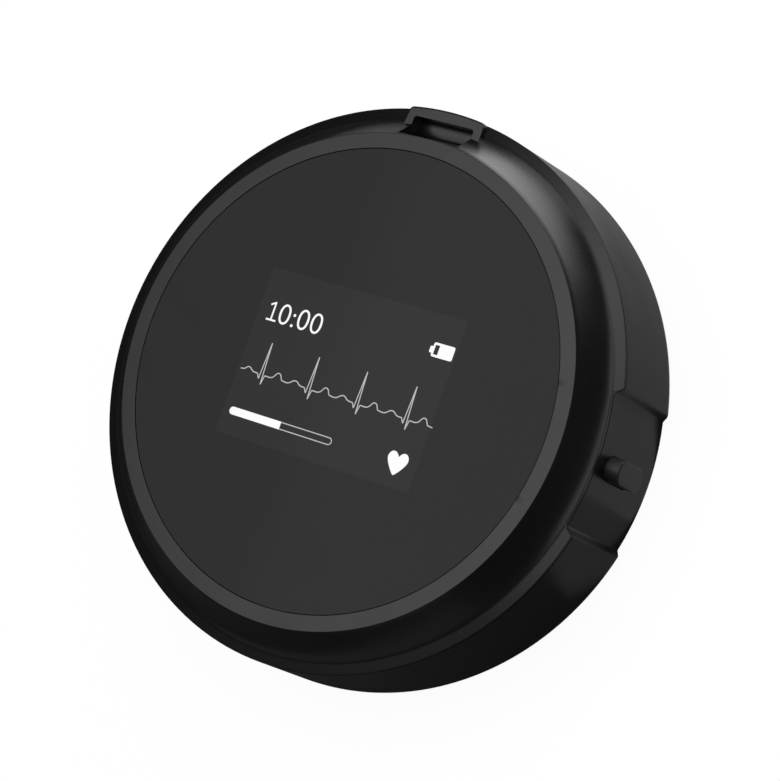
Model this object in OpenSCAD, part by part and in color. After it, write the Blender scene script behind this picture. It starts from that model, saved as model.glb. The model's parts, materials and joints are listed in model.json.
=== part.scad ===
// Round hand-held heart monitor, in millimetres.
// The back face lies on z = 0 and +Z comes out of the screen. +Y points to the lanyard bar at
// 12 o'clock and +X to the side button at 3 o'clock.

/* [Housing] */
// Thickness from the back face to the flat front ring
thickness = 16.8; // [16.4:0.1:18]
// Radius of the lens
lens_r = 25.2; // [24:0.1:27]
// Width of the flat ring round the lens, with its groove
ring_w = 1.8; // [1.6:0.1:2.2]
// Width of the cove and the brim, from the ring to the rim
cove_w = 4; // [3.8:0.1:4.6]
// Drop from the front ring to the rim
rim_drop = 3.6; // [3.4:0.1:3.8]
// How far the back housing swells beyond the rim
belly_out = 0.5; // [0.4:0.1:0.8]
// Rounding of the back edge
back_round = 2.5; // [2:0.1:3]
// Slope of the cove where it leaves the ring, in degrees
cove_slope = 55; // [52:1:58]
// Slope of the brim, in degrees
brim_slope = 16; // [12:1:20]
// Width of the brim
brim_w = 1.1; // [0.8:0.1:1.3]
// Wall of the back housing
wall = 1.6; // [1.4:0.1:1.8]
// Floor of the back housing
floor_t = 1.5; // [1.4:0.1:1.7]
// Edge of the bezel under the brim
lip_t = 0.1; // [0.1:0.05:0.3]
// Open parting line between the housings
seam_gap = 0.16; // [0.08:0.02:0.2]

/* [Button recess] */
// Depth of the recess
recess_depth = 1.2; // [1:0.1:1.4]
// Half angle of the recess floor
recess_a = 12.1; // [11:0.1:14]
// Angle that each curved end wall takes
ramp_a = 2.6; // [2:0.1:3.4]

/* [Button] */
// Height of the button's middle over the back face
button_z = 7.95; // [7.5:0.05:8.1]
// Length of the button, front to back
button_len = 6.4; // [6:0.1:7.4]
// Width of the button
button_w = 2.6; // [2.2:0.1:3]
// Rounding of the button's edge
button_round = 0.45; // [0.25:0.05:0.55]
// Running gap round the button
button_gap = 0.1; // [0.08:0.02:0.16]
// How far the button travels
button_travel = 0.6; // [0.4:0.1:0.7]

/* [Lanyard bar] */
// Outer width of the lanyard lug
lug_w = 9.5; // [9:0.1:10]
// Width of the channel through the lug
channel_w = 7.6; // [6.8:0.1:7.8]
// Drop from the front ring to the lug's front face
lug_drop = 2.5; // [2.3:0.1:2.7]
// Front-to-back thickness of the bar
bar_t = 1; // [0.8:0.1:1.2]
// Width of the bar, from its inner face to the rim
bar_w = 1.3; // [1.2:0.05:1.5]
// Clear height of the channel under the bar
channel_h = 1.3; // [1.1:0.1:1.4]
// Material under the channel
lug_floor = 1.1; // [0.9:0.1:1.3]

/* [Lens and screen] */
// Thickness of the lens
lens_t = 1; // [0.8:0.1:1.1]
// Open groove round the lens
lens_gap = 0.1; // [0.08:0.02:0.16]
// Thickness of the adhesive ring
tape_t = 0.2; // [0.1:0.05:0.3]
// Width of the ledge that the lens is stuck to
seat_w = 2.3; // [1.8:0.1:2.6]
// Width of the lit picture
view_w = 24.8; // [24:0.1:25.4]
// Height of the lit picture
view_h = 18.8; // [18:0.1:19.2]
// Thickness of the screen panel
panel_t = 1.6; // [1.4:0.1:1.8]
// Wall of the screen carrier
frame_wall = 1; // [0.8:0.1:1.1]

/* [Board and battery] */
// Gap between the circuit board and the wall behind the button
board_gap = 3.05; // [2.9:0.05:3.4]
// Thickness of the circuit board
board_t = 1; // [0.8:0.1:1.1]
// Width of the battery cell
cell_w = 24; // [22:0.5:25]
// Length of the battery cell
cell_l = 24.5; // [22:0.5:25]
// Thickness of the battery cell
cell_t = 3.5; // [3:0.1:3.7]
// Thickness of the foam tape under the cell
pad_t = 0.3; // [0.2:0.05:0.4]

/* [Skin contacts and screws] */
// Radius of a skin electrode
electrode_r = 4; // [3.5:0.1:4.3]
// Distance from the board's edge to the middle of an electrode
electrode_in = 6.4; // [6.2:0.1:6.8]
// Distance from the board's edge to the middle of a screw
screw_in = 2.9; // [2.7:0.1:3.2]
// Radius of the screw shank
screw_r = 0.95; // [0.85:0.05:1]

/* [Hidden] */
$fn = 96;

// Clearances shared by the pieces that fit together
fit = 0.1;
slide_fit = 0.05;
cut = 1;

// Radii, worked out from the lens
ring_r = lens_r + ring_w;
rim_r = ring_r + cove_w;
belly_r = rim_r + belly_out;
seat_r = lens_r - seat_w;
bar_y = rim_r - bar_w;

// Heights, worked out from the back face and from the front ring
z_front = thickness;
z_rim = z_front - rim_drop;
z_lip = z_rim - lip_t;
z_case_top = z_lip - seam_gap;
z_lens = z_front - lens_t;
z_seat = z_lens - tape_t;
draft = atan((belly_r - rim_r) / (z_rim - back_round));

// Bezel
shell_t = 1.2;
z_seat_under = z_seat - shell_t;
spigot_t = 1;
spigot_h = 1.6;
spigot_r = rim_r - wall - fit;
cove_inner_r = ring_r - 0.7;

// Lanyard lug and the channel through it
z_lug_top = z_front - lug_drop;
z_bar_under = z_lug_top - bar_t;
z_channel = z_bar_under - channel_h;
z_lug_bottom = z_channel - lug_floor;
pocket_y = ring_r + 0.05;
lug_inner_y = pocket_y - shell_t;
lug_edge_round = 0.25;
lug_corner_r = 0.5;
pocket_corner_r = 0.35;
scoop_r = channel_h - 0.1;
scoop_fall = 0.2;

// Seal between the housings
seal_in = 0.9;
seal_w = 0.65;
seal_h = 0.7;
z_seal = z_case_top - seal_h;
lug_gap = 0.06;

// Button
button_top_r = belly_r;
case_inner_r = wall_r(button_z) - recess_depth - wall;
flange_t = 0.7;
flange_w = 0.55;
flange_gap = 0.15;
button_back_r = case_inner_r - slide_fit - flange_t;
stem_r = 0.9;
seal_groove = 0.35;
seal_t = 0.6;
button_seal_r = case_inner_r + button_travel + 0.15;

// Board and switch: the switch's axis lies on the button's
switch_axis_h = 1;
z_board_top = button_z - switch_axis_h;
z_board = z_board_top - board_t;
board_r = case_inner_r - board_gap;
switch_l = 3.4;
switch_w = 4.6;
switch_h = 2;
switch_out = board_r - 0.6;
plunger_r = 0.6;
plunger_grip = 1.2;
plunger_out = switch_out + 1;

// Chips on the board: x, y, width, length and height
board_flat = 1.2;
board_flat_l = 10;
processor = [-6.5, 4, 7, 7, 0.9];
amplifier = [6, 4.5, 5, 5, 0.9];
memory = [-6.5, -4.5, 5, 6, 0.8];
charger = [7, -5, 3, 3, 0.8];
quartz = [-0.5, 4.5, 3.2, 2.5, 0.8];
passive_w = 0.8;
passive_l = 1.6;
passive_h = 0.6;
passive_gap = 0.9;
row_start = 1.5;
radio_w = 11;
radio_l = 8;
radio_base = 0.6;
radio_can = 1.2;
radio_antenna = 2;
radio_y = board_r - 5.8;
buzzer_r = 4.5;
buzzer_h = 3;
buzzer_hole = 0.8;
buzzer_in = 5.9;

// Screen
panel_side = 2.1;
panel_top = 1.6;
panel_bottom = 4.1;
gasket_t = 0.3;
panel_w = view_w + 2 * panel_side;
panel_h = view_h + panel_top + panel_bottom;
panel_y = (panel_top - panel_bottom) / 2;
z_panel_top = z_lens - gasket_t;
z_panel = z_panel_top - panel_t;
frame_w = panel_w + 2 * (fit + frame_wall);
frame_h = panel_h + 2 * (fit + frame_wall);
frame_floor = 1;
frame_lip = 1.3;
frame_ledge = 4;
leg = 2.6;
peg_r = 0.7;
peg_h = 0.8;

// Flat cable, drawn as a folded strip in the YZ plane
flex_w = 14;
flex_t = 0.2;
flex_bend = 1.2;
flex_side = 0.5;
flex_way = 2;
flex_in = 1.4;
flex_y = panel_y - frame_h / 2 - 0.8;
z_flex_top = z_panel + flex_t;
z_flex_low = z_board_top + 1.2;
socket_w = 16;
socket_l = 4;
socket_h = 1.7;
socket_gap = 0.2;
socket_y = flex_y + socket_l / 2 + socket_gap;
flex_grip = 2.4;

// Screws
boss_r = 2.3;
boss_gap = 0.3;
screw_d = board_r - screw_in;
screw_y = frame_h / 2 - panel_y + boss_r + boss_gap;
screw_x = sqrt(screw_d * screw_d - screw_y * screw_y);
screw_clear = 0.2;
head_r = 1.8;
head_t = 1.2;
head_gap = 0.15;
head_sink = 0.2;
insert_r = 1.6;
insert_l = 4;
z_head = head_sink + head_t;
screw_l = z_board_top + insert_l - z_head;
pilot_h = 1;

// Contacts in the back face
electrode_t = 0.8;
electrode_d = board_r - electrode_in;
electrode_pin_r = 1.2;
electrode_boss_r = 2.2;
z_pin_top = floor_t + 0.9;
contact_x = 3;
contact_y = -(board_r - 3.9);
contact_r = 1.1;
contact_flange_r = 1.6;
contact_flange_t = 0.3;
spring_pin_r = 0.9;
spring_tip_r = 0.5;
spring_tip_h = 1.1;

// Battery
pouch_gap = 0.3;
cell_y = cell_l / 2 - screw_y + boss_r + pouch_gap;
z_cell = floor_t + pad_t;
cell_round = 1.2;
strip_l = 2;
strip_h = 1;
cell_end_y = cell_y + cell_l / 2;
plug_w = 5;
plug_l = 4;
plug_h = 1.4;
plug_x = (electrode_boss_r + screw_x - boss_r) / 2;
lead_run = 1.7;
plug_y = cell_end_y + strip_l + lead_run + plug_l / 2;
lead_r = 0.4;
lead_x = 0.8;
lead_z = z_cell + strip_h + lead_r;

black = "#26272a";
lens_black = "#1b1c1e";
board_green = "#1f5b3a";
chip_black = "#202124";
steel = "#b9bcc0";
gold = "#c9a23c";

// ---- Curves and profiles ----

function arc(cx, cy, r, a0, a1, n) =
    [for (i = [0:n]) let (a = a0 + (a1 - a0) * i / n) [cx + r * cos(a), cy + r * sin(a)]];

function polar(r, a) = [r * cos(a), r * sin(a)];

// Outer radius of the drafted side wall at height z
function wall_r(z) = rim_r + (z_rim - z) * tan(draft);

// Where the line from p at slope a (downwards) meets the line through q at slope b
function slopes_meet(p, a, q, b) =
    let (x = (p[1] - q[1] + p[0] * tan(a) - q[0] * tan(b)) / (tan(a) - tan(b)))
    [x, p[1] - (x - p[0]) * tan(a)];

// The cove: a curve that leaves the ring at cove_slope and runs out on the brim
function cove_points(n) =
    let (p = [ring_r, z_front],
         q = [rim_r - brim_w, z_rim + brim_w * tan(brim_slope)],
         c = slopes_meet(p, cove_slope, q, brim_slope))
    [for (i = [0:n]) let (t = i / n) (1 - t) * (1 - t) * p + 2 * t * (1 - t) * c + t * t * q];

// Half section of the housing's outer form, set in by an inset, from a floor height upwards
function core_profile(inset, z_floor) =
    let (r = max(back_round - inset, 0.4), z_top = z_front + cut)
    concat([[0, z_floor]],
           arc(belly_r - inset - r, z_floor + r, r, -90, 0, 10),
           [[wall_r(z_top) - inset, z_top], [0, z_top]]);

// Section across the recess: a floor arc whose ends turn up in a quarter round. Behind the
// wall, the end is spread by some degrees for each millimetre of inset.
ramp_spread = 1.6;
ramp_over = 0.03;
function recess_ramp(inset, n) =
    let (r = wall_r(z_mid()) - recess_depth - inset, a = recess_a + inset * ramp_spread)
    [for (i = [0:n]) let (q = 90 * i / n)
        polar(r + (recess_depth + ramp_over) * (1 - cos(q)), a + ramp_a * sin(q))];
function recess_outline(inset) =
    let (up = recess_ramp(inset, 10),
         n = len(up),
         r = wall_r(z_mid()) - recess_depth - inset,
         a = atan2(up[0][1], up[0][0]),
         far = belly_r + 4,
         a_end = atan2(up[n - 1][1], up[n - 1][0]))
    concat([polar(far, -a_end)],
           [for (i = [n - 1:-1:0]) [up[i][0], -up[i][1]]],
           [for (i = [1:23]) polar(r, -a + 2 * a * i / 24)],
           up,
           [polar(far, a_end)]);
function z_mid() = (z_rim + back_round) / 2;

// Places
screw_places = [for (sx = [-1, 1], sy = [-1, 1])
    [sx * screw_x, sy * screw_y]];
upper_place = [0, electrode_d];
left_place = polar(electrode_d, 210);
right_place = polar(electrode_d, 330);
contact_places = [[-contact_x, contact_y], [contact_x, contact_y]];
leg_places = [for (sx = [-1, 1], sy = [-1, 1])
    [sx * (frame_w / 2 - leg / 2 - 1), panel_y + sy * (frame_h / 2 - leg / 2 - 1)]];

// ---- Shared forms ----

module at(places) {
    for (p = places) translate([p[0], p[1], 0]) children();
}

module disc(r, z0, z1) {
    translate([0, 0, z0]) cylinder(r = r, h = z1 - z0);
}

module slab(w, l, z0, z1) {
    translate([-w / 2, -l / 2, z0]) cube([w, l, z1 - z0]);
}

// Rectangle with round corners
module round_rect(w, l, r) {
    square([w - 2 * r, l], center = true);
    square([w, l - 2 * r], center = true);
    for (sx = [-1, 1], sy = [-1, 1])
        translate([sx * (w / 2 - r), sy * (l / 2 - r)]) circle(r);
}

module round_slab(w, l, r, z0, z1) {
    translate([0, 0, z0]) linear_extrude(z1 - z0) round_rect(w, l, r);
}

// Stadium prism along X, from x0 to x1, with its long axis along Z
module stadium(len, w, x0, x1) {
    translate([x0, 0, button_z]) rotate([0, 90, 0]) linear_extrude(x1 - x0) {
        square([len - w, w], center = true);
        for (s = [-1, 1]) translate([s * (len - w) / 2, 0]) circle(w / 2);
    }
}

// The scoop that both housings share at 3 o'clock: it leans with the wall's draft
module recess_void(inset) {
    translate([0, 0, z_mid()]) rotate([0, -draft, 0])
        translate([0, 0, -z_mid() - 3])
            linear_extrude(thickness + 6) polygon(recess_outline(inset));
}

// The housing's outer form with its recess, set in by an inset
module housing_core(inset, z_floor) {
    difference() {
        rotate_extrude() polygon(core_profile(inset, z_floor));
        recess_void(inset);
    }
}

// ---- Front housing ----

module bezel_ring() {
    rotate_extrude() polygon(concat(
        [[lens_r + lens_gap, z_seat], [lens_r + lens_gap, z_front]],
        cove_points(16),
        [[rim_r, z_rim], [rim_r, z_lip], [spigot_r - spigot_t, z_lip],
         [cove_inner_r, z_seat_under], [seat_r, z_seat_under], [seat_r, z_seat]]));
}

module bezel_spigot() {
    difference() {
        rotate_extrude() polygon([
            [spigot_r - spigot_t, z_lip - spigot_h], [spigot_r, z_lip - spigot_h],
            [spigot_r, z_lip + lip_t], [spigot_r - spigot_t - 0.4, z_lip + 0.6],
            [spigot_r - spigot_t - 0.4, z_lip]]);
        recess_void(wall + fit);
    }
}

// Plan of the lug: its outer corners are rounded where they meet the rim
function lug_plan() =
    let (r = lug_corner_r, x = lug_w / 2 - r,
         y = sqrt((rim_r - r) * (rim_r - r) - x * x),
         turn = 0.8 * atan2(y, x),
         side = arc(x, y, r, 0, turn, 5),
         tip = side[5] + 3 * [-sin(turn), cos(turn)],
         half = concat([[lug_w / 2, lug_inner_y]], side, [tip]))
    concat(half, [for (i = [len(half) - 1:-1:0]) [-half[i][0], half[i][1]]]);

// Block that carries the bar, flush with the rim and stepping down into the back housing
module lug_block() {
    intersection() {
        translate([0, 0, z_lug_bottom]) linear_extrude(z_lug_top - z_lug_bottom)
            polygon(lug_plan());
        rotate_extrude() polygon(concat(
            [[lug_inner_y - 2, z_lug_bottom], [rim_r, z_lug_bottom]],
            arc(rim_r - lug_edge_round, z_lug_top - lug_edge_round,
                lug_edge_round, 0, 90, 5),
            [[lug_inner_y - 2, z_lug_top]]));
    }
}

// Lanyard path: down from the front pocket, round a scoop and out under the bar
module channel_void() {
    far = rim_r + 3;
    translate([-channel_w / 2, 0, 0]) rotate([90, 0, 90]) linear_extrude(channel_w)
        polygon(concat(
            [[pocket_y, z_bar_under]],
            arc(pocket_y + scoop_r, z_channel + scoop_r, scoop_r, 180, 270, 8),
            [[rim_r, z_channel - scoop_fall], [far, z_channel - scoop_fall],
             [far, z_bar_under]]));
}

// Opening of the pocket in front of the bar, with round corners
module pocket_void() {
    translate([0, (pocket_y + bar_y) / 2, 0])
        round_slab(channel_w, bar_y - pocket_y, pocket_corner_r, z_bar_under - slide_fit,
                   z_front + cut);
}

module front_bezel() color(black) difference() {
    union() {
        difference() {
            bezel_ring();
            recess_void(0);
        }
        bezel_spigot();
        lug_block();
        at(screw_places) disc(boss_r, z_board_top, z_seat);
    }
    channel_void();
    pocket_void();
    at(screw_places) {
        disc(insert_r, z_board_top - cut, z_board_top + insert_l);
        disc(screw_r, z_board_top, z_board_top + insert_l + pilot_h);
    }
}

module lens() color(lens_black) rotate_extrude() polygon([
    [0, z_lens], [lens_r, z_lens], [lens_r, z_front - 0.1], [lens_r - 0.1, z_front],
    [0, z_front]]);

module lens_tape() color("#111111") difference() {
    disc(lens_r - 0.2, z_seat, z_lens);
    disc(seat_r + 0.3, z_seat - cut, z_lens + cut);
}

// ---- Screen ----

module display_gasket() color("#2b2b2b") difference() {
    translate([0, panel_y, 0]) slab(panel_w, panel_h, z_panel_top, z_lens);
    slab(view_w + 0.6, view_h + 0.6, z_panel_top - cut, z_lens + cut);
}

module display_panel() color("#0d1114") difference() {
    translate([0, panel_y, 0]) slab(panel_w, panel_h, z_panel, z_panel_top);
    // Step for the drive chip, where the cable leaves
    translate([0, panel_y - panel_h / 2, 0])
        slab(flex_w + 2 * flex_side, 2 * (panel_bottom - flex_way), z_panel - cut,
             z_flex_top + flex_t / 2);
}

module display_frame() color("#3a3d42") difference() {
    union() {
        translate([0, panel_y, 0])
            round_slab(frame_w, frame_h, 1, z_panel - frame_floor, z_panel + frame_lip);
        at(leg_places) slab(leg, leg, z_board_top, z_panel - frame_floor);
        at([leg_places[0], leg_places[3]]) disc(peg_r, z_board_top - peg_h, z_board_top);
    }
    translate([0, panel_y, 0]) {
        slab(panel_w + 2 * fit, panel_h + 2 * fit, z_panel, z_front);
        slab(panel_w - 2 * frame_ledge, panel_h - 2 * frame_ledge, 0, z_front);
    }
    // Way out for the flat cable
    translate([0, panel_y - frame_h / 2, 0])
        slab(flex_w + 2 * flex_side, 2 * (frame_wall + flex_way), z_panel - 2 * flex_t, z_front);
}

module display_flex() color("#b5651d") {
    y_in = panel_y - panel_h / 2 + flex_in;
    y_end = socket_y + socket_l / 2 - (socket_l - flex_grip);
    half = flex_t / 2;
    top = z_flex_top - flex_bend;
    low = z_flex_low + flex_bend;
    translate([-flex_w / 2, 0, 0]) rotate([90, 0, 90]) linear_extrude(flex_w)
        polygon(concat(
            [[y_in, z_flex_top + half]],
            arc(flex_y, top, flex_bend + half, 90, 180, 8),
            arc(flex_y, low, flex_bend + half, 180, 270, 8),
            [[y_end, z_flex_low - half], [y_end, z_flex_low + half]],
            arc(flex_y, low, flex_bend - half, 270, 180, 8),
            arc(flex_y, top, flex_bend - half, 180, 90, 8),
            [[y_in, z_flex_top - half]]));
}

module display_connector() color("#d8d2c0") difference() {
    translate([0, socket_y, 0]) slab(socket_w, socket_l, z_board_top, z_board_top + socket_h);
    translate([0, socket_y - socket_l / 2, z_flex_low - flex_t / 2 - 0.05])
        slab(flex_w + 0.3, 2 * flex_grip + 0.2, 0, flex_t + 0.1);
}

// ---- Circuit board ----

module main_board() color(board_green) difference() {
    disc(board_r, z_board, z_board_top);
    at(screw_places) disc(screw_r + screw_clear, z_board - cut, z_board_top + cut);
    at([leg_places[0], leg_places[3]]) disc(peg_r + fit, z_board - cut, z_board_top + cut);
    // Flat on the far side from the button, so the board goes in one way round
    translate([-board_r - board_flat_l, -board_flat_l, z_board - cut])
        cube([board_flat_l + board_flat, 2 * board_flat_l, board_t + 2 * cut]);
}

// A chip is [x, y, width, length, height]
module chip(c) {
    translate([c[0], c[1], 0]) slab(c[2], c[3], z_board_top, z_board_top + c[4]);
}

module processor_chip() color(chip_black) chip(processor);
module ecg_amplifier_chip() color(chip_black) chip(amplifier);
module memory_chip() color(chip_black) chip(memory);
module charger_chip() color(chip_black) chip(charger);
module crystal() color(steel) chip(quartz);

module radio_module() color(steel) translate([0, radio_y, 0]) {
    slab(radio_w, radio_l, z_board_top, z_board_top + radio_base);
    translate([0, -radio_antenna / 2, 0])
        slab(radio_w - 1, radio_l - radio_antenna - 0.6, z_board_top + radio_base,
             z_board_top + radio_base + radio_can);
}

// Rows of small parts beside the chips
module passive_row(first, step, n) {
    for (i = [0:n - 1])
        chip([first[0] + step[0] * i, first[1] + step[1] * i, first[2], first[3], passive_h]);
}

module board_passives() color("#8a6f4d") {
    pitch = passive_w + passive_gap;
    beside = passive_l / 2 + 2 * passive_gap;
    passive_row([-passive_l, -row_start, passive_w, passive_l], [pitch, 0], 5);
    passive_row([amplifier[0] + amplifier[2] / 2 + beside, row_start, passive_l, passive_w],
                [0, pitch], 4);
    passive_row([processor[0] - processor[2] / 2 - passive_l / 2 - passive_gap, row_start,
                 passive_l, passive_w], [0, pitch], 4);
    passive_row([-passive_w, -4 * row_start, passive_w, passive_l], [pitch, 0], 3);
}

module buzzer() color(chip_black) translate([-(board_r - buzzer_in), 0, 0]) difference() {
    disc(buzzer_r, z_board_top, z_board_top + buzzer_h);
    disc(buzzer_hole, z_board_top + buzzer_h / 2, z_board_top + buzzer_h + cut);
}

// Side-push switch: its bore guides the plunger
module switch_body() color(chip_black) difference() {
    translate([switch_out - switch_l / 2, 0, 0])
        slab(switch_l, switch_w, z_board_top, z_board_top + switch_h);
    translate([switch_out - plunger_grip - button_travel - 0.3, 0, button_z]) rotate([0, 90, 0])
        cylinder(r = plunger_r + slide_fit, h = switch_l);
}

module switch_plunger() color("#d9d5cb")
    translate([switch_out - plunger_grip, 0, button_z]) rotate([0, 90, 0])
        cylinder(r = plunger_r, h = plunger_out - switch_out + plunger_grip);

// ---- Button ----

// Outline that rounds the key's outer edge over a width w, from x0 to x1
function key_edge(w, x0, x1) =
    let (r = button_round, up = arc(w / 2 - r, x1 - r, r, 15, 90, 5))
    concat([[-w / 2 - cut, x0 - cut], [w / 2 + cut, x0 - cut], [w / 2 + cut, x1 - r]],
           up,
           [for (i = [len(up) - 1:-1:0]) [-up[i][0], up[i][1]]],
           [[-w / 2 - cut, x1 - r]]);

// Stadium key with its outer edge rounded all round
module key_cap(x0, x1) {
    reach = button_len + 2 * cut;
    intersection() {
        stadium(button_len, button_w, x0, x1);
        translate([0, 0, button_z - reach / 2]) linear_extrude(reach)
            rotate(-90) polygon(key_edge(button_w, x0, x1));
        translate([0, reach / 2, button_z]) rotate([90, 0, 0]) linear_extrude(reach)
            rotate(-90) polygon(key_edge(button_len, x0, x1));
    }
}

module side_button() color(black) {
    difference() {
        key_cap(button_back_r + flange_t - slide_fit, button_top_r);
        difference() {
            stadium(button_len + 2, button_w + 2, button_seal_r, button_seal_r + seal_t);
            stadium(button_len - 2 * seal_groove, button_w - 2 * seal_groove,
                    button_seal_r - cut, button_seal_r + seal_t + cut);
        }
    }
    stadium(button_len + 2 * flange_w, button_w + 2 * flange_w,
            button_back_r, button_back_r + flange_t);
    translate([plunger_out, 0, button_z]) rotate([0, 90, 0])
        cylinder(r = stem_r, h = button_back_r + slide_fit - plunger_out);
}

module button_seal() color("#404246") difference() {
    grow = 2 * (button_gap - slide_fit);
    stadium(button_len + grow, button_w + grow, button_seal_r, button_seal_r + seal_t);
    stadium(button_len - 2 * seal_groove, button_w - 2 * seal_groove,
            button_seal_r - cut, button_seal_r + seal_t + cut);
}

// ---- Battery ----

module battery_cell() color("#c8cacc") translate([0, cell_y, 0]) {
    // Pouch with rounded long sides
    translate([0, cell_l / 2, z_cell + cell_t / 2]) rotate([90, 0, 0])
        linear_extrude(cell_l) round_rect(cell_w, cell_t, cell_round);
}

module battery_protection_board() color("#c79a2b")
    translate([0, cell_end_y + strip_l / 2, 0])
        slab(cell_w - 4, strip_l, z_cell, z_cell + strip_h);

module battery_pad() color("#5a5c60") translate([0, cell_y, 0])
    slab(cell_w - 4, cell_l - 4, floor_t, z_cell);

module battery_connector() color("#e6e2d6") difference() {
    translate([plug_x, plug_y, 0]) slab(plug_w, plug_l, z_board - plug_h, z_board);
    for (s = [-1, 1]) translate([plug_x + s * lead_x, plug_y - plug_l / 2 + 1, z_plug])
        rotate([90, 0, 0]) cylinder(r = lead_r + 0.02, h = 2);
}
z_plug = z_board - plug_h / 2;

// One lead: off the strip, up an S bend and into the socket
module battery_lead(x) {
    y0 = cell_end_y + strip_l - 1;
    y1 = plug_y - plug_l / 2 - 0.1;
    dy = y1 - y0 - 0.6;
    dz = z_plug - lead_z;
    turn = 2 * atan(dz / dy);
    r = dy / (2 * sin(turn));
    translate([x, 0, 0]) {
        translate([0, y0 + 0.6, lead_z]) rotate([90, 0, 0]) cylinder(r = lead_r, h = 0.6);
        translate([0, y0 + 0.6, lead_z + r]) rotate([0, 90, 0])
            rotate_extrude(angle = turn) translate([r, 0]) circle(lead_r);
        translate([0, y1, z_plug - r]) rotate([0, -90, 0]) rotate([0, 0, -turn])
            rotate_extrude(angle = turn) translate([r, 0]) circle(lead_r);
        translate([0, y1 + 1, z_plug]) rotate([90, 0, 0]) cylinder(r = lead_r, h = 1);
    }
}

module battery_lead_red() color("#b3261e") battery_lead(plug_x - lead_x);
module battery_lead_black() color("#222222") battery_lead(plug_x + lead_x);

// ---- Contacts in the back face ----

module electrode(place) color(steel) translate([place[0], place[1], 0]) {
    disc(electrode_r, 0, electrode_t);
    disc(electrode_pin_r, electrode_t, z_pin_top);
}

module electrode_upper() electrode(upper_place);
module electrode_left() electrode(left_place);
module electrode_right() electrode(right_place);

module charging_contacts() color(gold) at(contact_places) {
    disc(contact_r, 0, z_pin_top);
    disc(contact_flange_r, floor_t, floor_t + contact_flange_t);
}

module contact_pins() color(gold)
    at(concat([upper_place, left_place, right_place], contact_places)) {
        disc(spring_pin_r, z_pin_top + spring_tip_h, z_board);
        disc(spring_tip_r, z_pin_top, z_pin_top + spring_tip_h);
    }

// ---- Back housing ----

// Room for the lug where it steps down through the wall
module lug_notch(grow, z_bottom) {
    w = lug_w + 2 * grow;
    translate([-w / 2, lug_inner_y - 1, z_bottom]) cube([w, 10, z_front]);
}

// The seal's track: level along the wall's top, with a step down and round the lug
module seal_track(grow) {
    low = z_lug_bottom - lug_gap - seal_h;
    difference() {
        union() {
            slab(3 * belly_r, 3 * belly_r, z_seal, z_front);
            lug_notch(lug_gap + seal_w + grow, low);
        }
    }
}

module rear_case() color(black) difference() {
    union() {
        difference() {
            intersection() {
                housing_core(0, 0);
                slab(3 * belly_r, 3 * belly_r, 0, z_case_top);
            }
            housing_core(wall, floor_t);
        }
        at(screw_places) disc(boss_r, floor_t - 0.2, z_board);
        at([upper_place, left_place, right_place])
            disc(electrode_boss_r, floor_t - 0.2, z_pin_top - 0.2);
    }
    // Rebate for the seal, and the notch for the lug
    intersection() {
        housing_core(seal_in, floor_t);
        seal_track(0);
    }
    lug_notch(lug_gap, z_lug_bottom - lug_gap);
    // Screws
    at(screw_places) {
        disc(screw_r + screw_clear, -cut, z_board + cut);
        disc(head_r + head_gap, -cut, z_head);
    }
    // Electrodes and charging contacts
    at([upper_place, left_place, right_place]) {
        disc(electrode_r + slide_fit, -cut, electrode_t);
        disc(electrode_pin_r + slide_fit, -cut, z_board);
    }
    at(contact_places) disc(contact_r + slide_fit, -cut, floor_t + cut);
    // Button: its opening, and a flat seat inside the wall for its flange
    stadium(button_len + 2 * button_gap, button_w + 2 * button_gap, case_inner_r - 2,
            belly_r + 2);
    stadium(button_len + 2 * (flange_w + flange_gap), button_w + 2 * (flange_w + flange_gap),
            case_inner_r - 2, button_back_r + flange_t + slide_fit);
}

module case_gasket() color("#3b3d40") intersection() {
    difference() {
        housing_core(seal_in, floor_t);
        housing_core(seal_in + seal_w, 0);
        lug_notch(lug_gap, z_lug_bottom - lug_gap);
    }
    seal_track(0);
    slab(3 * belly_r, 3 * belly_r, 0, z_lip);
}

module threaded_inserts() color(gold) at(screw_places) difference() {
    disc(insert_r, z_board_top, z_board_top + insert_l);
    disc(screw_r + 0.02, z_board_top - cut, z_board_top + insert_l + cut);
}

module case_screws() color(steel) at(screw_places) difference() {
    union() {
        disc(head_r, head_sink, z_head);
        disc(screw_r, z_head, z_head + screw_l);
    }
    for (a = [0, 90]) rotate(a) slab(2 * head_r * 0.6, 0.45, -cut, head_sink + 0.6);
}

front_bezel();
lens();
lens_tape();
display_gasket();
display_panel();
display_frame();
display_flex();
display_connector();
main_board();
processor_chip();
ecg_amplifier_chip();
memory_chip();
radio_module();
charger_chip();
crystal();
board_passives();
buzzer();
switch_body();
switch_plunger();
side_button();
button_seal();
battery_cell();
battery_protection_board();
battery_pad();
battery_lead_red();
battery_lead_black();
battery_connector();
electrode_upper();
electrode_left();
electrode_right();
contact_pins();
charging_contacts();
rear_case();
case_gasket();
threaded_inserts();
case_screws();
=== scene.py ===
# %% [markdown]
# # A round pocket heart monitor
# The monitor is a black puck about 63 mm across: a flat tinted lens, a moulded front housing
# with a hollow cove round the lens, a cup-shaped back housing, and one sprung side button in a
# recess. The solid model comes in from its packed folder. Inner pieces stay as they are and get
# a finish, and finer pieces modelled here stand in for the ones that a viewer sees.

# %% Load the solid model as the frame
import json
import math

import bmesh
import bpy
from mathutils import Matrix, Quaternion, Vector


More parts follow.
